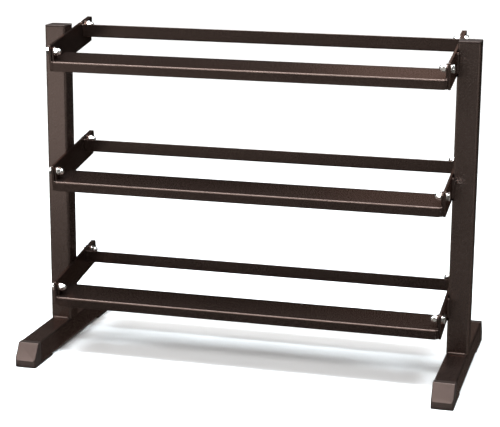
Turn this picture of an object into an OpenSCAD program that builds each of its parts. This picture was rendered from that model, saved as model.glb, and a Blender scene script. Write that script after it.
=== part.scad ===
// Three-tier dumbbell rack: two welded end frames on front-to-back base tubes,
// joined by three tilted tiers of bent steel rails that bolt to side brackets.
// X runs across the rack, +Y to its rear, +Z up. The origin is on the floor,
// below the middle of the rack.

/* [Overall] */
// Width over the two uprights
overall_w = 1038; // [800:1:1500]
// Height to the top of the upright caps
overall_h = 785; // [780:1:1000]
// Depth over the foot caps, front to back
overall_d = 529; // [420:1:700]
// Distance of the uprights in front of the middle of the base tubes
upright_fore = 11; // [0:0.5:20]

/* [Tube] */
// Outside width of the square tube
tube_w = 50.8; // [45:0.1:60]
// Wall thickness of the tube
tube_wall = 2.5; // [1.5:0.1:3]
// Outside corner radius of the tube
tube_r = 5; // [4:0.5:7]

/* [Tiers] */
// Tilt of each tier, rising to the rear, in degrees
tier_tilt = 9.5; // [5:0.5:13]
// Vertical distance from one tier to the next
tier_pitch = 285; // [240:1:288]
// Height of the front corner of the lowest tier
first_tier_z = 142.5; // [120:0.5:152]
// Distance of the front corner in front of the uprights' centre
tier_front = 132; // [110:1:150]

/* [Brackets] */
// Thickness of the side bracket plates
bracket_t = 6; // [4:0.5:8]
// Length of the brackets along the tier
bracket_len = 261; // [250:1:290]
// Height of the bracket's top edge above the rail surface
bracket_rise = 36; // [36:0.5:45]
// How far the bracket's bottom edge hangs below the rail's lip
bracket_drop = 2.5; // [0:0.5:5]
// Set-back of the bracket's front edge from the rail's front corner
bracket_back = 7; // [2:0.5:10]
// Corner radius of the brackets
bracket_r = 2.5; // [1:0.5:6]

/* [Rails] */
// Thickness of the rails' sheet steel
rail_t = 3; // [2:0.5:4]
// Outside radius of the rails' bends
bend_r = 5; // [4.5:0.5:8]
// Depth of the front rail's shelf
front_shelf_w = 81; // [60:1:100]
// Drop of the front rail's lip
front_lip_h = 23.5; // [18:0.5:30]
// Distance from the front corner to the rear rail's face
rear_face_y = 207; // [200:1:212]
// Height of the rear rail's upturned face
rear_face_h = 32; // [32:0.5:36]
// Depth of the rear rail's shelf
rear_shelf_w = 61; // [50:1:70]

/* [End plates] */
// Thickness of the plates welded to the rails' ends
end_plate_t = 5; // [4:0.5:8]
// Set-back of the front end plates from the rail's front corner
front_plate_back = 1.5; // [1:0.5:7]
// Length of the front end plates
front_plate_len = 61.5; // [50:0.5:72]
// Rim of the plates round their washers
lug_rim = 1; // [0.5:0.5:2]

/* [Fasteners] */
// Diameter of the bolts' shanks
bolt_d = 10; // [8:1:10]
// Length of the bolts below the head
bolt_len = 25; // [23:0.5:25]
// Width across the flats of bolt heads and nuts
hex_w = 17; // [16:0.5:17]
// Thickness of the bolt heads
head_h = 6.4; // [5:0.1:8]
// Diameter of the washers
washer_d = 20; // [18:0.5:20]
// Thickness of the washers
washer_t = 2; // [1.5:0.1:2.5]
// Height of the hexagon of the acorn nuts
nut_hex_h = 6.8; // [6:0.1:8]
// Radius of the acorn nuts' domes
nut_dome_r = 7.5; // [7:0.1:7.8]
// Place of the front bolts behind the rail's front corner
front_bolt_y = 22; // [20:0.5:30]
// Height of the front bolts above the shelf
front_bolt_z = 19; // [17:0.5:20]
// Place of the rear bolts behind the rail's front corner
rear_bolt_y = 236; // [228:0.5:240]
// Height of the rear bolts above the shelf
rear_bolt_z = 23.5; // [18:0.5:26]

/* [Foot caps] */
// Thickness of the sole under the base tube
sole_t = 5; // [4:0.5:12]
// Length of the sole
sole_len = 106; // [80:1:120]
// Length of the cap's flat top in front of the tube's end
cap_top_len = 17; // [10:1:25]
// How far the cap's face leans outwards to its ridge
cap_lean = 24; // [8:1:30]
// Height of the ridge
cap_ridge_z = 18; // [12:0.5:25]
// How far the toe goes back in below the ridge
cap_toe_in = 3.5; // [1:0.5:6]
// Corner radius of the cap, seen from above
cap_r = 6; // [3:0.5:10]

/* [Plugs] */
// Depth of the plugs inside the tubes
plug_len = 22; // [12:1:30]
// Wall thickness of the plugs
plug_wall = 3; // [2:0.5:4]
// Thickness of the upright caps above the tube
top_cap_t = 4; // [3:0.5:6]

/* [Welds] */
// Leg of the welds at the foot of the uprights
base_weld = 5; // [3:0.5:8]
// Radius of the weld beads between bracket and upright
bracket_weld = 5.5; // [4:0.5:7]
// Length of those beads
bracket_weld_len = 50; // [30:1:52]
// Leg of the welds between rails and end plates
plate_weld = 4; // [2:0.5:5]

/* [Hidden] */
$fn = 48;
SIDES = ["left", "right"];
ENDS = ["front", "rear"];
TIERS = ["bottom", "middle", "top"];

coat = [0.19, 0.15, 0.14];
weld_coat = [0.24, 0.19, 0.17];
plastic = [0.12, 0.10, 0.10];
plated = [0.82, 0.83, 0.85];

fit_gap = 0.3;                                      // play of a plug inside its tube
bolt_gap = 0.5;                                     // play around a bolt in its hole
thread_gap = 0.05;                                  // play between a bolt and its nut
weld_clip = 1.6;                                    // where a bead stops short of a bend's tangent
tube_bore = tube_w - 2 * tube_wall;
upright_x = (overall_w - tube_w) / 2;               // centre of an upright
upright_y = -upright_fore; // the front is towards -Y
inner_x = upright_x - tube_w / 2;                   // inner face of an upright
plate_x = inner_x - bracket_t;                      // inner face of a bracket
rail_end_x = plate_x - end_plate_t;                 // end of a rail
base_top = sole_t + tube_w;
tube_half = overall_d / 2 - cap_lean - cap_top_len; // half the base tube's length
upright_top = overall_h - top_cap_t;
bracket_low = -front_lip_h - bracket_drop;
bracket_h = bracket_rise - bracket_low;
bracket_end = bracket_back + bracket_len;
rear_plate_len = bracket_end - rear_face_y;
bolt_r = bolt_d / 2;
lug_r = washer_d / 2 + lug_rim;
nut_bore_len = bolt_len - bracket_t - end_plate_t - 2 * washer_t + fit_gap;

// Height of a bracket's middle line above its tier's origin, at a Y from the upright's centre
function bracket_mid_z(y) =
    (y + tier_front) * tan(tier_tilt) + (bracket_rise - bracket_h / 2) / cos(tier_tilt);

// ---- outlines ----------------------------------------------------------

module rounded_square(w, r) {
    square([w - 2 * r, w], center = true);
    square([w, w - 2 * r], center = true);
    for (x = [-1, 1], y = [-1, 1])
        translate([x, y] * (w / 2 - r)) circle(r);
}

module tube_outline() {
    difference() {
        rounded_square(tube_w, tube_r);
        rounded_square(tube_bore, tube_r - tube_wall);
    }
}

// Hollow square of a plug that slides into a tube
module plug_outline() {
    plug_w = tube_bore - 2 * fit_gap;
    difference() {
        rounded_square(plug_w, max(tube_r - tube_wall, 1));
        square(plug_w - 2 * plug_wall, center = true);
    }
}

// Bent sheet: a shelf from the bend at the origin, and a lip below it
module angle_outline(shelf_w, lip_h) {
    translate([bend_r, -rail_t]) square([shelf_w - bend_r, rail_t]);
    translate([0, -lip_h]) square([rail_t, lip_h - bend_r]);
    intersection() {
        translate([0, -bend_r]) square(bend_r);
        translate([bend_r, -bend_r]) difference() {
            circle(bend_r);
            circle(bend_r - rail_t);
        }
    }
}

// Flat plate from one corner to the opposite one, with a bolt hole
module plate_outline(low, high, hole, r) {
    size = high - low;
    difference() {
        translate(low) {
            translate([r, 0]) square([size.x - 2 * r, size.y]);
            translate([0, r]) square([size.x, size.y - 2 * r]);
            for (x = [r, size.x - r], y = [r, size.y - r]) translate([x, y]) circle(r);
        }
        for (p = hole) translate(p) circle(bolt_r + bolt_gap);
    }
}

// Plate below the front shelf's surface, with a round lug that carries the bolt
module front_plate_outline() {
    difference() {
        union() {
            plate_outline(
                [front_plate_back, -front_lip_h], [front_plate_back + front_plate_len, 0], [], bracket_r
            );
            translate([front_bolt_y - lug_r, -bracket_r])
                square([2 * lug_r, front_bolt_z + bracket_r]);
            translate([front_bolt_y, front_bolt_z]) circle(lug_r);
        }
        translate([front_bolt_y, front_bolt_z]) circle(bolt_r + bolt_gap);
    }
}

// Plate as high as the rear rail's face, and as high as the bracket round the bolt
module rear_plate_outline() {
    hole = [[rear_bolt_y, rear_bolt_z]];
    plate_outline([rear_face_y, 0], [bracket_end, rear_face_h], hole, bracket_r);
    plate_outline([rear_bolt_y - lug_r, 0], [bracket_end, bracket_rise], hole, bracket_r);
}

module quarter_round(r) {
    intersection() {
        circle(r);
        square(r);
    }
}

// ---- placing -----------------------------------------------------------

// Extrudes an outline drawn in Y and Z along X, centred
module along_x(len) {
    rotate([90, 0, 90]) linear_extrude(len, center = true) children();
}

// Puts a shape drawn around x = 0 at the left (0) or right (1) upright
module at_side(side, x) {
    mirror([1 - side, 0, 0]) translate([x, 0, 0]) children();
}

// Frame of a tier: origin at the front rail's corner, Y along the tilted shelf
module in_tier(tier) {
    translate([0, upright_y - tier_front, first_tier_z + tier * tier_pitch])
        rotate([tier_tilt, 0, 0]) children();
}

// Places children at the four bolts of a tier, with +Z from the outside inwards
module at_bolts(tier, x) {
    in_tier(tier)
        for (side = [0, 1], p = [[front_bolt_y, front_bolt_z], [rear_bolt_y, rear_bolt_z]])
            at_side(side, x) translate([0, p.x, p.y]) rotate([0, -90, 0]) children();
}

// ---- end frames --------------------------------------------------------

module upright_tube(side) {
    color(coat) at_side(side, upright_x) translate([0, upright_y, base_top])
        linear_extrude(upright_top - base_top) tube_outline();
}

module upright_cap(side) {
    color(plastic) at_side(side, upright_x) translate([0, upright_y, upright_top]) {
        linear_extrude(top_cap_t) rounded_square(tube_w, tube_r);
        translate([0, 0, -plug_len]) linear_extrude(plug_len) plug_outline();
    }
}

module base_tube(side) {
    color(coat) at_side(side, upright_x) translate([0, 0, sole_t + tube_w / 2])
        rotate([90, 0, 0]) linear_extrude(2 * tube_half, center = true) tube_outline();
}

// End cap with a leaning face, a ridge, and a sole that runs under the tube
module foot_cap(side, end) {
    tip = overall_d / 2;
    toe = tip - cap_toe_in;
    face_top = tip - cap_lean;
    heel = toe - sole_len;
    color(plastic) mirror([0, 1 - end, 0]) at_side(side, upright_x) {
        intersection() {
            along_x(tube_w) polygon([
                [tube_half, base_top], [face_top, base_top], [tip, cap_ridge_z], [toe, 0],
                [heel, 0], [heel, sole_t], [tube_half, sole_t]
            ]);
            linear_extrude(base_top) {
                translate([-tube_w / 2, heel]) square([tube_w, tip - cap_r - heel]);
                translate([cap_r - tube_w / 2, heel]) square([tube_w - 2 * cap_r, tip - heel]);
                for (x = [-1, 1]) translate([x * (tube_w / 2 - cap_r), tip - cap_r]) circle(cap_r);
            }
        }
        translate([0, tube_half, sole_t + tube_w / 2])
            rotate([90, 0, 0]) linear_extrude(plug_len) plug_outline();
    }
}

// Fillets across the front and rear of the upright, and fills at its flush sides
module base_welds(side) {
    flat = tube_w - 2 * tube_r;
    fill_w = tube_r / 2;
    color(weld_coat) at_side(side, upright_x) translate([0, upright_y, base_top]) {
        for (end = [0, 1]) mirror([0, 1 - end, 0])
            translate([0, tube_w / 2, 0]) along_x(flat + tube_r) quarter_round(base_weld);
        for (edge = [0, 1]) mirror([1 - edge, 0, 0]) translate([tube_w / 2, 0, 0])
            rotate([90, 0, 0]) linear_extrude(flat, center = true) difference() {
                translate([-fill_w, weld_clip - tube_r]) square([fill_w, tube_r - weld_clip]);
                translate([-tube_r, -tube_r]) circle(tube_r);
            }
    }
}

// Bead between a plate at x = 0 and the rounded corner of a tube whose face is at y = 0
module corner_bead_outline() {
    difference() {
        intersection() {
            circle(bracket_weld);
            translate([0, weld_clip - tube_r]) square(2 * bracket_weld);
        }
        translate([tube_r, -tube_r]) circle(tube_r);
        translate([tube_r, -2 * tube_r]) square(2 * tube_r);
    }
}

// Upright beads where each bracket crosses the front and rear corners of its upright
module bracket_welds(side) {
    for (tier = [0:2], end = [0, 1]) {
        y = (2 * end - 1) * tube_w / 2;
        z = first_tier_z + tier * tier_pitch + bracket_mid_z(y);
        color(weld_coat) at_side(side, inner_x) translate([0, upright_y + y, z]) mirror([0, 1 - end, 0])
            linear_extrude(bracket_weld_len, center = true) corner_bead_outline();
    }
}

module bracket(tier, side) {
    color(coat) in_tier(tier) at_side(side, inner_x - bracket_t / 2) along_x(bracket_t)
        plate_outline(
            [bracket_back, bracket_low], [bracket_end, bracket_rise],
            [[front_bolt_y, front_bolt_z], [rear_bolt_y, rear_bolt_z]], bracket_r
        );
}

// ---- tiers -------------------------------------------------------------

// Shelf rail with its lip turned down at the front
module front_rail(tier) {
    color(coat) in_tier(tier) along_x(2 * rail_end_x) angle_outline(front_shelf_w, front_lip_h);
}

// Shelf rail with its face turned up in front of it
module rear_rail(tier) {
    color(coat) in_tier(tier) along_x(2 * rail_end_x) translate([rear_face_y, 0])
        mirror([0, 1]) angle_outline(rear_shelf_w, rear_face_h);
}

module front_end_plates(tier) {
    color(coat) in_tier(tier) for (side = [0, 1])
        at_side(side, rail_end_x + end_plate_t / 2) along_x(end_plate_t) front_plate_outline();
}

module rear_end_plates(tier) {
    color(coat) in_tier(tier) for (side = [0, 1])
        at_side(side, rail_end_x + end_plate_t / 2) along_x(end_plate_t) rear_plate_outline();
}

// Bead along the inside corner of a rail and its end plate, under or on the shelf
module plate_weld_beads(tier, y, z, len, up) {
    color(weld_coat) in_tier(tier) for (side = [0, 1])
        at_side(side, rail_end_x) translate([0, y, z]) mirror([0, 0, 1 - up])
            rotate([-90, 0, 0]) linear_extrude(len) rotate(180) quarter_round(plate_weld);
}

module front_plate_welds(tier) {
    plate_weld_beads(tier, bend_r + front_plate_back, -rail_t, front_plate_len - 2 * bend_r, 0);
}

module rear_plate_welds(tier) {
    plate_weld_beads(
        tier, rear_face_y + 2 * bend_r, rail_t,
        min(rear_plate_len, rear_shelf_w) - 3 * bend_r, 1
    );
}

// ---- fasteners ---------------------------------------------------------

module hexagon() {
    circle(d = hex_w / cos(30), $fn = 6);
}

module bolts(tier) {
    color(plated) at_bolts(tier, inner_x + washer_t) {
        mirror([0, 0, 1]) linear_extrude(head_h) hexagon();
        cylinder(r = bolt_r, h = bolt_len);
    }
}

module washers(tier) {
    for (x = [inner_x + washer_t, rail_end_x])
        color(plated) at_bolts(tier, x) linear_extrude(washer_t) difference() {
            circle(d = washer_d);
            circle(bolt_r + bolt_gap);
        }
}

module acorn_nuts(tier) {
    color(plated) at_bolts(tier, rail_end_x - washer_t) difference() {
        union() {
            linear_extrude(nut_hex_h) hexagon();
            translate([0, 0, nut_hex_h]) sphere(nut_dome_r);
        }
        translate([0, 0, -nut_dome_r])
            cylinder(r = bolt_r + thread_gap, h = nut_dome_r + nut_bore_len);
    }
}

// ---- assembly ----------------------------------------------------------

for (side = [0, 1]) {
    upright_tube(side);
    upright_cap(side);
    base_tube(side);
    base_welds(side);
    bracket_welds(side);
    for (end = [0, 1])
        foot_cap(side, end);
    for (tier = [0:2])
        bracket(tier, side);
}
for (tier = [0:2]) {
    front_rail(tier);
    rear_rail(tier);
    front_end_plates(tier);
    rear_end_plates(tier);
    front_plate_welds(tier);
    rear_plate_welds(tier);
    bolts(tier);
    washers(tier);
    acorn_nuts(tier);
}
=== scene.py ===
"""Looks of a three-tier dumbbell rack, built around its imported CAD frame.

Metres, +X across the rack, +Y to its rear, +Z up, origin on the floor. Square tubes keep their CAD
meshes. Sheet-metal parts and caps get softened edges, welds get ripples, and fasteners get chamfers.
"""
import math
import random

import bmesh
import bpy
from mathutils import Matrix, Vector


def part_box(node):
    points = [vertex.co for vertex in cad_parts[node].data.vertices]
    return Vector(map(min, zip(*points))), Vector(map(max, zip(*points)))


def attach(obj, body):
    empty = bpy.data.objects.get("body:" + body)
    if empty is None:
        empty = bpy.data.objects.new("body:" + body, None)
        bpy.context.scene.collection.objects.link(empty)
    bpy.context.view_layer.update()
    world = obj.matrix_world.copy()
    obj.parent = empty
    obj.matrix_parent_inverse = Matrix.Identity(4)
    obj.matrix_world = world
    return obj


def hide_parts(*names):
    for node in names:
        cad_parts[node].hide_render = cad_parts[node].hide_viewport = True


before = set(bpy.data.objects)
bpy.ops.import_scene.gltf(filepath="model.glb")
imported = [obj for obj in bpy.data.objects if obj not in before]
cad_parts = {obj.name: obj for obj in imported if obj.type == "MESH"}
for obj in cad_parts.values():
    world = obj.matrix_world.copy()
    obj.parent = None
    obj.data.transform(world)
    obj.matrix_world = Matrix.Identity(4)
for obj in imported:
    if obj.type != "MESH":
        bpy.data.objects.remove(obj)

MM = 0.001
SIDES = ("left", "right")
ENDS = ("front", "rear")
TIERS = ("bottom", "middle", "top")

# Edge softening, as radii
PLATE_EDGE = 0.9 * MM
SHEET_EDGE = 0.7 * MM
FOOT_EDGE = 1.8 * MM
CAP_EDGE = 1.2 * MM
SHARP = math.radians(35)         # an edge that turns more than this gets softened
JOIN = 0.002 * MM                # corners closer than this are one corner

# Colours of the light
WARM = (1.04, 1.0, 0.94)
COOL = (0.87, 0.98, 1.05)
WHITE = (1, 1, 1)

# Fasteners
HEX_FLATS = 17 * MM
HEX_CORNER = HEX_FLATS / 2 / math.cos(math.pi / 6)
SHANK_R = 5 * MM
BORE_R = 5.05 * MM
CHAMFER = math.tan(math.radians(30))
HEAD_H = 6.4 * MM
NUT_H = 6.8 * MM
DOME_R = 7.5 * MM
NUT_BORE = 10.5 * MM             # depth of a nut's blind hole
TURN_STEPS = 96

# Welds
BEAD_ARC_STEPS = 12              # faces across a bead
RIPPLE_STEPS = 10                # faces along one ripple
BOW = 0.55                       # how far a ripple's middle runs ahead, in pitches
CREST = 0.8                      # share of a ripple before it falls back
ROOT_SINK = 0.6 * MM             # how deep the base fillets' root lies in the steel
FILL_BULGE = 3.2 * MM            # size of the fills at an upright's flush sides
FILL_SINK = 1.4 * MM
FILL_HALF_H = 2.4 * MM

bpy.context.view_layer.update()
rng = random.Random(41)


# ---- materials -----------------------------------------------------------------------------------

class Look:
    """A node material with a few helpers, so that each finish below reads as a recipe."""

    def __init__(self, name):
        self.material = bpy.data.materials.new(name)
        self.material.use_nodes = True
        self.tree = self.material.node_tree
        self.tree.nodes.clear()
        self.shader = self.tree.nodes.new("ShaderNodeBsdfPrincipled")
        output = self.tree.nodes.new("ShaderNodeOutputMaterial")
        self.join(self.shader.outputs["BSDF"], output.inputs["Surface"])
        self.place = self.tree.nodes.new("ShaderNodeTexCoord").outputs["Object"]

    def join(self, source, target):
        self.tree.links.new(source, target)

    def constants(self, **values):
        """Sets the shader's own sockets; a double underscore stands for a space."""
        for name, value in values.items():
            self.shader.inputs[name.replace("__", " ")].default_value = value

    def stretched(self, x, y, z):
        mapping = self.tree.nodes.new("ShaderNodeMapping")
        mapping.inputs["Scale"].default_value = (x, y, z)
        self.join(self.place, mapping.inputs["Vector"])
        return mapping.outputs["Vector"]

    def noise(self, scale, detail=2.0, rough=0.5, vector=None):
        node = self.tree.nodes.new("ShaderNodeTexNoise")
        node.inputs["Scale"].default_value = scale
        node.inputs["Detail"].default_value = detail
        node.inputs["Roughness"].default_value = rough
        self.join(vector or self.place, node.inputs["Vector"])
        return node.outputs["Fac"]

    def cells(self, scale):
        node = self.tree.nodes.new("ShaderNodeTexVoronoi")
        node.feature = "SMOOTH_F1"
        node.inputs["Scale"].default_value = scale
        self.join(self.place, node.inputs["Vector"])
        return node.outputs["Distance"]

    def spread(self, value, low, high, to_low, to_high):
        """Maps low..high to to_low..to_high, clamped."""
        node = self.tree.nodes.new("ShaderNodeMapRange")
        node.inputs["From Min"].default_value = low
        node.inputs["From Max"].default_value = high
        node.inputs["To Min"].default_value = to_low
        node.inputs["To Max"].default_value = to_high
        self.join(value, node.inputs["Value"])
        return node.outputs["Result"]

    def mixed(self, factor, first, second):
        """A colour between two; each is a colour or another node's output."""
        node = self.tree.nodes.new("ShaderNodeMix")
        node.data_type = "RGBA"
        self.join(factor, node.inputs["Factor"])
        for socket, colour in ((node.inputs["A"], first), (node.inputs["B"], second)):
            if isinstance(colour, bpy.types.NodeSocket):
                self.join(colour, socket)
            else:
                socket.default_value = (*colour, 1)
        return node.outputs["Result"]

    def edges(self, low, high):
        """0 on flat faces, 1 on outward edges."""
        geometry = self.tree.nodes.new("ShaderNodeNewGeometry")
        return self.spread(geometry.outputs["Pointiness"], low, high, 0, 1)

    def bump(self, *layers):
        """Each layer is (height, strength, distance in metres)."""
        normal = None
        for height, strength, distance in layers:
            node = self.tree.nodes.new("ShaderNodeBump")
            node.inputs["Strength"].default_value = strength
            node.inputs["Distance"].default_value = distance
            self.join(height, node.inputs["Height"])
            if normal:
                self.join(normal, node.inputs["Normal"])
            normal = node.outputs["Normal"]
        self.join(normal, self.shader.inputs["Normal"])


def powder_coat(name, body, light, rough):
    """Dark satin powder coat: orange-peel, fine paler flake, and a painted highlight: the paler colour on
    outward edges and bends.
    """
    look = Look(name)
    look.constants(Metallic=0.9, IOR=1.4, Specular__Tint=(0.95, 0.7, 0.62, 1))
    tone = look.spread(look.noise(7, 3), 0.3, 0.7, 0, 1)
    colour = look.mixed(tone, [0.9 * c for c in body], [1.12 * c for c in body])
    flake = look.spread(look.noise(2600, 1), 0.55, 0.8, 0, 0.5)
    colour = look.mixed(flake, colour, light)
    # painted highlight: the paler colour on outward edges and bends brightens and whitens their highlights
    colour = look.mixed(look.edges(0.52, 0.62), colour, light)
    look.join(colour, look.shader.inputs["Base Color"])
    grain = look.noise(900, 2)
    look.join(look.spread(grain, 0.3, 0.7, rough - 0.05, rough + 0.05), look.shader.inputs["Roughness"])
    look.bump((look.noise(420, 2, 0.45), 0.35, 0.12 * MM), (look.noise(2600, 1), 0.2, 0.03 * MM))
    return look.material


def moulded_plastic(name, body, light):
    """Matt plastic with a spark-eroded grain and a painted highlight: paler colour on outward edges."""
    look = Look(name)
    look.constants(IOR=1.5, Specular__Tint=(1, 0.73, 0.65, 1))
    tone = look.spread(look.noise(18, 3), 0.3, 0.7, 0, 1)
    colour = look.mixed(tone, [0.92 * c for c in body], [1.1 * c for c in body])
    # painted highlight: the paler colour on outward edges stands in for their rim highlights
    edge = look.edges(0.52, 0.62)
    look.join(look.mixed(edge, colour, light), look.shader.inputs["Base Color"])
    scuffs = look.noise(60, 4, 0.7)
    look.join(look.spread(scuffs, 0.35, 0.7, 0.33, 0.44), look.shader.inputs["Roughness"])
    look.bump((look.cells(1500), 0.35, 0.08 * MM), (look.noise(3200, 2), 0.3, 0.04 * MM))
    return look.material


def bright_plating(name, body):
    """Nickel-chrome plate with faint polishing lines and a breath of haze."""
    look = Look(name)
    look.constants(Metallic=1.0)
    tone = look.noise(240, 3)
    colour = look.mixed(look.spread(tone, 0.35, 0.7, 0, 1), body, [0.86 * c for c in body])
    look.join(colour, look.shader.inputs["Base Color"])
    haze = look.noise(500, 4, 0.65)
    look.join(look.spread(haze, 0.35, 0.75, 0.07, 0.2), look.shader.inputs["Roughness"])
    lines = look.noise(900, 2, 0.5, look.stretched(0.15, 1, 1))
    look.bump((lines, 0.12, 0.03 * MM))
    return look.material


def pale_floor(name):
    """Near-white matt floor."""
    look = Look(name)
    look.constants(Specular__IOR__Level=0.2)
    tone = look.spread(look.noise(0.8, 2), 0.3, 0.7, 0, 1)
    colour = look.mixed(tone, (0.86, 0.86, 0.86), (0.9, 0.9, 0.9))
    look.join(colour, look.shader.inputs["Base Color"])
    look.join(look.spread(look.noise(40, 3), 0.3, 0.7, 0.65, 0.8), look.shader.inputs["Roughness"])
    return look.material


BROWN = (0.045, 0.031, 0.0265)
# the paler brown is the flake colour and the painted highlight on edges and bends
FLAKE_AND_EDGE_HIGHLIGHT_BROWN = (0.085, 0.062, 0.054)
LOOKS = {
    "frame_coat": powder_coat("frame_powder_coat", BROWN, FLAKE_AND_EDGE_HIGHLIGHT_BROWN, 0.27),
    "weld_coat": powder_coat("weld_powder_coat", [1.1 * c for c in BROWN], FLAKE_AND_EDGE_HIGHLIGHT_BROWN, 0.4),
    # the cap plastic's second colour is its painted edge highlight
    "cap_plastic": moulded_plastic("cap_moulded_plastic", (0.013, 0.0092, 0.008), (0.028, 0.02, 0.0175)),
    "plated": bright_plating("bright_plating", (0.86, 0.85, 0.83)),
}


# ---- reading the frame ---------------------------------------------------------------------------

def clean_copy(node):
    """The CAD node's mesh in a new bmesh, with doubled corners joined."""
    bm = bmesh.new()
    bm.from_mesh(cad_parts[node].data)
    bmesh.ops.remove_doubles(bm, verts=bm.verts, dist=JOIN)
    return bm


def solids_of(node, turned=Matrix.Identity(4)):
    """(lowest, highest corner) of each separate solid in a CAD node, in the turned frame, in order."""
    bm = clean_copy(node)
    bm.transform(turned)
    bm.verts.ensure_lookup_table()
    seen = set()
    boxes = []
    for start in bm.verts:
        if start in seen:
            continue
        seen.add(start)
        queue = [start]
        for v in queue:
            for other in (e.other_vert(v) for e in v.link_edges):
                if other not in seen:
                    seen.add(other)
                    queue.append(other)
        low = Vector([min(v.co[i] for v in queue) for i in range(3)])
        high = Vector([max(v.co[i] for v in queue) for i in range(3)])
        boxes.append((low, high))
    bm.free()
    return sorted(boxes, key=lambda b: tuple(round(c, 4) for c in b[0]))


def shelf_tilt():
    """The tiers' tilt, from the largest upward face of a front rail."""
    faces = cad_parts["top_front_rail"].data.polygons
    shelf = max((f for f in faces if f.normal.z > 0.5), key=lambda f: f.area)
    return math.atan2(-shelf.normal.y, shelf.normal.z)


TILT = shelf_tilt()
LEVEL = Matrix.Rotation(-TILT, 4, "X")       # turns a tier's frame level
TILTED = Matrix.Rotation(TILT, 4, "X")


# ---- making pieces -------------------------------------------------------------------------------

def piece_from(bm, name, slot, *nodes):
    """Finishes a mesh as a piece that stands for CAD nodes and rides with the rack."""
    bmesh.ops.recalc_face_normals(bm, faces=bm.faces)
    mesh = bpy.data.meshes.new(name)
    bm.to_mesh(mesh)
    bm.free()
    for face in mesh.polygons:
        face.use_smooth = True
    mesh.materials.append(LOOKS[slot])
    piece = bpy.data.objects.new(name, mesh)
    bpy.context.scene.collection.objects.link(piece)
    flat = piece.modifiers.new("flat_faces", "WEIGHTED_NORMAL")
    flat.keep_sharp = True
    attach(piece, "root")
    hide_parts(*nodes)
    return piece


def softened(node, name, slot, radius, steps=3):
    """A copy of a CAD node with its sharp edges rounded off."""
    bm = clean_copy(node)
    bmesh.ops.dissolve_limit(bm, angle_limit=math.radians(0.5), verts=bm.verts, edges=bm.edges)
    sharp = [e for e in bm.edges if len(e.link_faces) == 2 and e.calc_face_angle() > SHARP]
    bmesh.ops.bevel(bm, geom=sharp, offset=radius, segments=steps, profile=0.5,
                    affect="EDGES", clamp_overlap=False)
    low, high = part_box(node)
    for v in bm.verts:
        v.co = [min(max(c, a), b) for c, a, b in zip(v.co, low, high)]
    return piece_from(bm, name, slot, node)


def ring(bm, points):
    """New corners at the points, in order."""
    return [bm.verts.new(p) for p in points]


def bridge(bm, first, second):
    """Joins two rings of corners with faces."""
    for i in range(len(first)):
        j = (i + 1) % len(first)
        bm.faces.new((first[i], first[j], second[j], second[i]))


def turned_solid(bm, profile, at, axis, spin):
    """Adds a closed solid turned round an axis. The profile is (radius at an angle, height) pairs, and
    its first and last heights are closed at the axis."""
    frame_of_axis = axis.to_track_quat("Z", "Y").to_matrix()
    angles = [2 * math.pi * k / TURN_STEPS for k in range(TURN_STEPS)]
    rings = []
    for radius, height in profile:
        points = [Vector((radius(a) * math.cos(a + spin), radius(a) * math.sin(a + spin), height))
                  for a in angles]
        rings.append(ring(bm, [at + frame_of_axis @ p for p in points]))
    for first, second in zip(rings, rings[1:]):
        bridge(bm, first, second)
    bm.faces.new(rings[0])
    bm.faces.new(reversed(rings[-1]))


def round_r(radius):
    """The same radius at every angle."""
    return lambda angle: radius


def hex_r(limit):
    """Radius of the hexagon at an angle, cut back to a cone's radius."""
    def radius(angle):
        from_flat = (angle + math.pi / 6) % (math.pi / 3) - math.pi / 6
        return min(HEX_FLATS / 2 / math.cos(from_flat), limit)
    return radius


def chamfered_hex(low, high, top_limit, bottom_limit, steps=8):
    """Profile of a hexagon with cone-cut corners at both ends, from low to high."""
    top_drop = (HEX_CORNER - top_limit) * CHAMFER
    bottom_rise = (HEX_CORNER - bottom_limit) * CHAMFER
    rising = [(hex_r(bottom_limit + bottom_rise * k / steps / CHAMFER), low + bottom_rise * k / steps)
              for k in range(steps + 1)]
    falling = [(hex_r(HEX_CORNER - top_drop * k / steps / CHAMFER), high - top_drop * (1 - k / steps))
               for k in range(steps + 1)]
    return rising + falling


def hex_bolts(tier):
    """Hex-head bolts: chamfered head, washer face below it, plain shank with a chamfered tip."""
    node = f"{tier}_bolts"
    bm = bmesh.new()
    for low, high in solids_of(node):
        out = math.copysign(1, low.x)
        head_top = high.x if out > 0 else low.x
        tip = low.x if out > 0 else high.x
        seat = head_top - out * HEAD_H
        at = Vector((seat, (low.y + high.y) / 2, (low.z + high.z) / 2))
        reach = abs(tip - seat)
        tip_cut = 1.2 * MM
        face_h = 0.4 * MM
        crown = 0.94 * HEX_FLATS / 2
        profile = [
            (round_r(SHANK_R - tip_cut), -reach), (round_r(SHANK_R), tip_cut - reach),
            (round_r(SHANK_R), 0), (round_r(crown), 0), (round_r(crown), face_h),
            *chamfered_hex(face_h, HEAD_H - 0.25 * MM, crown, HEX_CORNER - 0.3 * MM),
            (round_r(0.85 * crown), HEAD_H - 0.08 * MM), (round_r(0.5 * crown), HEAD_H),
        ]
        turned_solid(bm, profile, at, Vector((out, 0, 0)), rng.uniform(0, math.pi / 3))
    return piece_from(bm, f"{tier}_hex_bolts", "plated", node)


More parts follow.
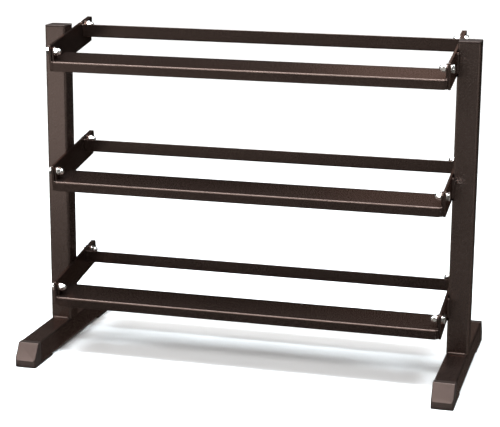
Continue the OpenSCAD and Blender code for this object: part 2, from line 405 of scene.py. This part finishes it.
def cap_nuts(tier):
    """Acorn nuts: chamfered hexagon, a neck line, a polished dome, and a blind bore."""
    node = f"{tier}_acorn_nuts"
    bm = bmesh.new()
    for low, high in solids_of(node):
        side = math.copysign(1, low.x)
        base = high.x if side > 0 else low.x
        at = Vector((base, (low.y + high.y) / 2, (low.z + high.z) / 2))
        neck = DOME_R - 0.25 * MM
        dome = [(round_r(max(DOME_R * math.cos(t), 0.05 * MM)), NUT_H + DOME_R * math.sin(t))
                for t in (math.radians(a) for a in range(6, 91, 6))]
        profile = [
            (round_r(BORE_R), NUT_BORE), (round_r(BORE_R), 0), (round_r(0.93 * HEX_FLATS / 2), 0),
            *chamfered_hex(0.2 * MM, NUT_H - 0.3 * MM, DOME_R + 0.3 * MM, HEX_CORNER - 0.8 * MM),
            (round_r(neck), NUT_H - 0.2 * MM), (round_r(neck), NUT_H), *dome,
        ]
        turned_solid(bm, profile, at, Vector((-side, 0, 0)), rng.uniform(0, math.pi / 3))
    return piece_from(bm, f"{tier}_cap_nuts", "plated", node)


def flat_washers(tier):
    """Stamped washers with rounded rims."""
    node = f"{tier}_washers"
    bm = bmesh.new()
    hole = SHANK_R + 0.5 * MM
    rim = 0.5 * MM
    for low, high in solids_of(node):
        at = (low + high) / 2
        half = (high.x - low.x) / 2
        outer = (high.y - low.y) / 2
        corner = [(math.sin(t), math.cos(t)) for t in (math.radians(a) for a in range(0, 91, 18))]
        top = [(round_r(outer - rim + rim * s), half - rim + rim * c) for s, c in corner]
        bottom = [(radius, -height) for radius, height in reversed(top)]
        loops = [(round_r(hole), -half + rim), (round_r(hole), half - rim),
                 (round_r(hole + rim), half), *top, *bottom, (round_r(hole + rim), -half)]
        washer_solid(bm, loops, at)
    return piece_from(bm, f"{tier}_flat_washers", "plated", node)


def washer_solid(bm, loops, at):
    """Adds a solid with a hole, turned round the X axis."""
    rings = []
    for radius, height in loops:
        angles = [2 * math.pi * k / TURN_STEPS for k in range(TURN_STEPS)]
        rings.append(ring(bm, [at + Vector((height, radius(a) * math.cos(a), radius(a) * math.sin(a)))
                               for a in angles]))
    for first, second in zip(rings, rings[1:] + rings[:1]):
        bridge(bm, first, second)


def bead(bm, start, end, out, side, spread, size, pitch=3.4 * MM, depth=0.16):
    """Adds a rippled weld bead from start to end. It bulges to `out`, is 2 * spread wide round its
    root line, and has one crescent ripple a pitch. size is its (outward, sideways) radius."""
    along = end - start
    length = along.length
    along = along.normalized()
    steps = max(8, int(length / pitch * RIPPLE_STEPS))
    wobble = [rng.uniform(-1, 1) for _ in range(int(length / pitch) + 4)]
    rings = []
    for k in range(steps + 1):
        t = length * k / steps
        from_end = min(t, length - t) + 0.1 * MM
        taper = math.sqrt(min(1, from_end / size[0] * (2 - min(from_end / size[0], 1))))
        points = [start + along * t - out * size[0] * 0.12]
        for i in range(BEAD_ARC_STEPS + 1):
            angle = spread * (2 * i / BEAD_ARC_STEPS - 1)
            bow = BOW * (1 - math.cos(angle))
            phase = t / pitch + bow + 1
            part = phase % 1
            fall = CREST ** 2 * (1 - (part - CREST) / (1 - CREST))
            ripple = 1 - depth * (part ** 2 if part < CREST else fall)
            vary = 1 + 0.05 * wobble[int(phase) % len(wobble)]
            radius = taper * ripple * min(vary, 1)
            points.append(start + along * t + out * (radius * size[0] * math.cos(angle))
                          + side * (radius * size[1] * math.sin(angle)))
        rings.append(ring(bm, points))
    for first, second in zip(rings, rings[1:]):
        bridge(bm, first, second)
    bm.faces.new(rings[0])
    bm.faces.new(reversed(rings[-1]))


def base_weld_beads(side):
    """Beads round the foot of an upright: fillets at front and rear, fills at its flush sides."""
    node = f"{side}_base_welds"
    tube_lo, tube_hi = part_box(f"{side}_upright_tube")
    bm = bmesh.new()
    up = Vector((0, 0, 1))
    for low, high in solids_of(node):
        middle = (low + high) / 2
        if high.z > tube_lo.z + 1 * MM:
            leg = high.z - low.z
            away = 1 if middle.y > (tube_lo.y + tube_hi.y) / 2 else -1
            root_y = tube_hi.y if away > 0 else tube_lo.y
            start = Vector((low.x, root_y - away * ROOT_SINK, low.z - ROOT_SINK))
            end = Vector((high.x, start.y, start.z))
            out = Vector((0, away, 1)).normalized()
            bead(bm, start, end, out, Vector((0, -away, 1)).normalized(), math.radians(50),
                 (leg + 0.7 * MM, leg + 0.7 * MM))
        else:
            away = 1 if middle.x > (tube_lo.x + tube_hi.x) / 2 else -1
            face = tube_hi.x if away > 0 else tube_lo.x
            start = Vector((face - away * FILL_BULGE, low.y, high.z - FILL_SINK))
            end = Vector((start.x, high.y, start.z))
            size = (FILL_BULGE, FILL_HALF_H)
            bead(bm, start, end, Vector((away, 0, 0)), up, math.radians(88), size)
    return piece_from(bm, f"{side}_base_weld_beads", "weld_coat", node)


def bracket_weld_beads(side):
    """Upright beads where each bracket crosses the front and rear corners of its upright."""
    node = f"{side}_bracket_welds"
    tube_lo, tube_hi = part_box(f"{side}_upright_tube")
    away = 1 if side == "right" else -1
    plate_face = tube_lo.x if away > 0 else tube_hi.x
    bm = bmesh.new()
    for low, high in solids_of(node):
        to_end = 1 if low.y + high.y > tube_lo.y + tube_hi.y else -1
        corner_y = tube_hi.y if to_end > 0 else tube_lo.y
        reach = (high.x - low.x) * 1.05
        start = Vector((plate_face, corner_y - to_end * 0.8 * MM, low.z))
        end = Vector((start.x, start.y, high.z))
        out = Vector((away, to_end, 0)).normalized()
        bead(bm, start, end, out, Vector((-to_end, away, 0)).normalized(), math.radians(75), (reach, reach))
    return piece_from(bm, f"{side}_bracket_weld_beads", "weld_coat", node)


def plate_weld_beads(tier, end):
    """Fillets between a rail and its end plates, under the front shelf or on the rear one."""
    node = f"{tier}_{end}_plate_welds"
    bm = bmesh.new()
    for low, high in solids_of(node, LEVEL):
        inward = -math.copysign(1, (low.x + high.x) / 2)
        upward = -1 if end == "front" else 1
        root_x = low.x if inward > 0 else high.x
        root_z = high.z if upward < 0 else low.z
        leg = high.z - low.z
        start = Vector((root_x - inward * 0.5 * MM, low.y, root_z - upward * 0.5 * MM))
        finish = Vector((start.x, high.y, start.z))
        out = Vector((inward, 0, upward)).normalized()
        bead(bm, start, finish, out, Vector((-inward, 0, upward)).normalized(), math.radians(52), (leg, leg))
    bm.transform(TILTED)
    return piece_from(bm, f"{tier}_{end}_plate_weld_beads", "weld_coat", node)


# ---- the rack ------------------------------------------------------------------------------------

def keep_cad(node, slot):
    """Shows a CAD node as it is, with its finish."""
    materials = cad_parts[node].data.materials
    materials.clear()
    materials.append(LOOKS[slot])


for side in SIDES:
    keep_cad(f"{side}_upright_tube", "frame_coat")
    keep_cad(f"{side}_base_tube", "frame_coat")
    softened(f"{side}_upright_cap", f"{side}_upright_end_cap", "cap_plastic", CAP_EDGE)
    base_weld_beads(side)
    bracket_weld_beads(side)
    for end in ENDS:
        softened(f"{side}_{end}_foot_cap", f"{side}_{end}_foot", "cap_plastic", FOOT_EDGE)
for tier in TIERS:
    for side in SIDES:
        softened(f"{tier}_{side}_bracket", f"{tier}_{side}_bracket_plate", "frame_coat", PLATE_EDGE)
    for end in ENDS:
        softened(f"{tier}_{end}_rail", f"{tier}_{end}_bent_rail", "frame_coat", SHEET_EDGE)
        softened(f"{tier}_{end}_end_plates", f"{tier}_{end}_rail_ends", "frame_coat", PLATE_EDGE)
        plate_weld_beads(tier, end)
    hex_bolts(tier)
    cap_nuts(tier)
    flat_washers(tier)


# ---- stage, camera and light ---------------------------------------------------------------------

def make_floor():
    """A wide floor that glossy rays don't see, so the steel mirrors only the studio."""
    half = 40
    bm = bmesh.new()
    bm.faces.new(ring(bm, [Vector((x, y, 0)) for x, y in
                           ((-half, -half), (half, -half), (half, half), (-half, half))]))
    mesh = bpy.data.meshes.new("floor")
    bm.to_mesh(mesh)
    bm.free()
    mesh.materials.append(pale_floor("pale_floor"))
    floor = bpy.data.objects.new("floor", mesh)
    floor.visible_glossy = False
    bpy.context.scene.collection.objects.link(floor)


def make_camera():
    """The photograph's viewing angle: from the right, above the top tier, a long lens."""
    data = bpy.data.cameras.new("camera")
    data.sensor_width = 36
    data.lens = 109.25
    data.clip_end = 200
    camera = bpy.data.objects.new("camera", data)
    yaw, pitch, roll = (math.radians(a) for a in (15.203, 13.495, 0.42))
    turn = (Matrix.Rotation(yaw, 4, "Z") @ Matrix.Rotation(math.pi / 2 - pitch, 4, "X")
            @ Matrix.Rotation(roll, 4, "Z"))
    camera.matrix_world = Matrix.Translation((0.9081, -3.4061, 1.1956)) @ turn
    bpy.context.scene.collection.objects.link(camera)
    bpy.context.scene.camera = camera


def soft_box(name, at, towards, width, height, watts, colour=WHITE):
    """A rectangular lamp that faces a point and stays out of the picture."""
    data = bpy.data.lights.new(name, "AREA")
    data.shape = "RECTANGLE"
    data.size = width
    data.size_y = height
    data.energy = watts
    data.color = colour
    lamp = bpy.data.objects.new(name, data)
    lamp.location = at
    lamp.rotation_euler = (Vector(towards) - Vector(at)).to_track_quat("-Z", "Y").to_euler()
    lamp.visible_camera = False
    bpy.context.scene.collection.objects.link(lamp)


def make_world():
    """A dim studio that is brightest low down, with a dark flag behind the rack to its right."""
    world = bpy.data.worlds.new("studio")
    world.use_nodes = True
    tree = world.node_tree
    parts = tree.nodes.new("ShaderNodeSeparateXYZ")
    tree.links.new(tree.nodes.new("ShaderNodeTexCoord").outputs["Generated"], parts.inputs["Vector"])

    def ramp(axis, *stops):
        """Strength by the direction's share along an axis, from (share, strength) stops."""
        place = tree.nodes.new("ShaderNodeMapRange")
        place.inputs["From Min"].default_value = -1
        tree.links.new(parts.outputs[axis], place.inputs["Value"])
        node = tree.nodes.new("ShaderNodeValToRGB")
        node.color_ramp.interpolation = "EASE"
        while len(node.color_ramp.elements) < len(stops):
            node.color_ramp.elements.new(0.5)
        for element, (share, strength) in zip(node.color_ramp.elements, stops):
            element.position = (share + 1) / 2
            element.color = (*(strength * c for c in WARM), 1)
        tree.links.new(place.outputs["Result"], node.inputs["Fac"])
        return node.outputs["Color"]

    def mixed(factor, first, second):
        node = tree.nodes.new("ShaderNodeMix")
        node.data_type = "RGBA"
        for name, source in (("Factor", factor), ("A", first), ("B", second)):
            tree.links.new(source, node.inputs[name])
        return node.outputs["Result"]

    flagged = ramp("Z", (-0.45, 0.22), (-0.3, 0.05), (-0.1, 0.01), (0.25, 0.04), (0.6, 0.09))
    around = ramp("Z", (-0.6, 0.2), (-0.2, 0.45), (0, 0.25), (0.25, 0.05), (0.6, 0.09))
    left = ramp("Z", (-0.62, 0.02), (-0.54, 0.12), (-0.46, 1.0), (-0.4, 0.7), (-0.33, 0.25),
                (-0.26, 0.25), (-0.18, 0.5), (-0.08, 0.55), (0.05, 0.2), (0.6, 0.14))
    right = ramp("Z", (-0.62, 0.02), (-0.54, 0.12), (-0.46, 1.0), (-0.4, 0.6), (-0.34, 0.03),
                 (-0.24, 0.03), (-0.19, 0.7), (-0.15, 0.7), (-0.1, 0.1), (0.6, 0.14))
    front = mixed(ramp("X", (-0.32, 0), (-0.17, 1)), left, right)
    behind = mixed(ramp("X", (-0.3, 1), (-0.05, 0), (0.5, 0), (0.75, 1)), flagged, around)
    light = mixed(ramp("Y", (-0.8, 1), (0.1, 0)), behind, front)
    tree.links.new(light, tree.nodes["Background"].inputs["Color"])
    bpy.context.scene.world = world


def make_light():
    """A broad ceiling light and soft boxes. "right" is weak, as the right upright's side is dark."""
    data = bpy.data.lights.new("ceiling", "SUN")
    data.energy = 3.7
    data.angle = math.radians(70)
    ceiling = bpy.data.objects.new("ceiling", data)
    bpy.context.scene.collection.objects.link(ceiling)
    middle = (0, 0, 0.4)
    soft_box("key", (-1.06, -3.05, 2.8), middle, 2.8, 1.0, 95)
    soft_box("strip", (0, -0.5, 2.6), (0, -0.1, 0.4), 3.6, 0.5, 150, COOL)
    soft_box("back_right", (-0.9, 12, 6.4), middle, 3.4, 2.0, 20)
    soft_box("front_left", (-1.15, -1.6, 0.35), (-0.5, 0, 0.5), 0.7, 0.65, 1.8)
    soft_box("right", (2.6, -1.9, 0.9), middle, 0.5, 1.6, 6)


make_floor()
make_camera()
make_world()
make_light()
bpy.context.scene.view_settings.view_transform = "Standard"
